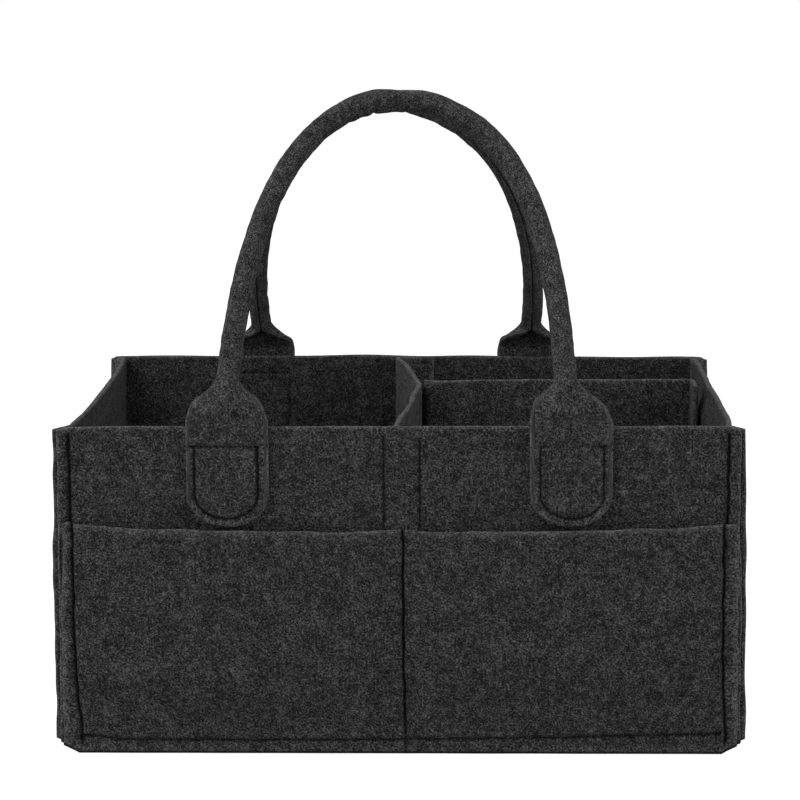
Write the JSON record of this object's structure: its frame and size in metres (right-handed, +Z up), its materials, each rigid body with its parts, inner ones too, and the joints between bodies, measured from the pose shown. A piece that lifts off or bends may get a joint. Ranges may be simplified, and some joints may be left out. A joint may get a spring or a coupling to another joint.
{
  "type": "felt diaper caddy",
  "caption": "Open box-shaped felt tote with outside pockets, lift-out inner dividers and rolled handles that swing over.",
  "frame": {"origin": "middle of the bottom, where the bag stands on the ground", "axes": "+Z up, +X to the right of someone facing the outside pockets, +Y from the pockets to the back"},
  "size_m": [0.3842, 0.2656, 0.3602],
  "materials": {
    "felt_body": "charcoal needle felt, matt, heathered",
    "felt_handle": "charcoal needle felt, matt, heathered",
    "felt_divider": "charcoal needle felt, matt, heathered",
    "hook_and_loop": "woven nylon tape with hooks or loops, matt",
    "thread": "polyester sewing thread",
    "stiffener": "pressed grey board",
    "filler_cord": "soft braided cotton cord"
  },
  "bodies": {
    "bag": {"base_panel": "felt_body", "floor_liner": "felt_body", "front_panel": "felt_body", "back_panel": "felt_body", "left_side_panel": "felt_body", "right_side_panel": "felt_body", "front_pocket_panel": "felt_body", "base_board": "stiffener", "front_left_patch": "felt_handle", "front_right_patch": "felt_handle", "back_left_patch": "felt_handle", "back_right_patch": "felt_handle", "front_loop_tape": "hook_and_loop", "back_loop_tape": "hook_and_loop", "right_loop_tape": "hook_and_loop", "front_left_patch_thread": "thread", "front_right_patch_thread": "thread", "back_left_patch_thread": "thread", "back_right_patch_thread": "thread", "front_left_corner_thread": "thread", "front_right_corner_thread": "thread", "back_left_corner_thread": "thread", "back_right_corner_thread": "thread", "front_bottom_thread": "thread", "back_bottom_thread": "thread", "left_bottom_thread": "thread", "right_bottom_thread": "thread", "pocket_middle_thread": "thread", "front_tape_thread": "thread", "back_tape_thread": "thread"},
    "front_handle": {"front_handle": "felt_handle", "front_handle_core": "filler_cord"},
    "back_handle": {"back_handle": "felt_handle", "back_handle_core": "filler_cord"},
    "centre_divider": {"centre_divider": "felt_divider", "front_hook_tape": "hook_and_loop", "back_hook_tape": "hook_and_loop", "divider_loop_tape": "hook_and_loop"},
    "cross_divider": {"cross_divider": "felt_divider", "inner_hook_tape": "hook_and_loop", "right_hook_tape": "hook_and_loop"}
  },
  "joints": [
    {"name": "front_handle_swing", "type": "hinge", "parent": "bag", "child": "front_handle", "pos_m": [0, -0.1301, 0.1875], "axis": [1, 0, 0], "range_deg": [0, 176]},
    {"name": "back_handle_swing", "type": "hinge", "parent": "bag", "child": "back_handle", "pos_m": [0, 0.1301, 0.1875], "axis": [-1, 0, 0], "range_deg": [0, 176]},
    {"name": "centre_divider_lift", "type": "slide", "parent": "bag", "child": "centre_divider", "axis": [0, 0, 1], "range_m": [0, 0.16]},
    {"name": "cross_divider_lift", "type": "slide", "parent": "bag", "child": "cross_divider", "axis": [0, 0, 1], "range_m": [0, 0.113]}
  ]
}
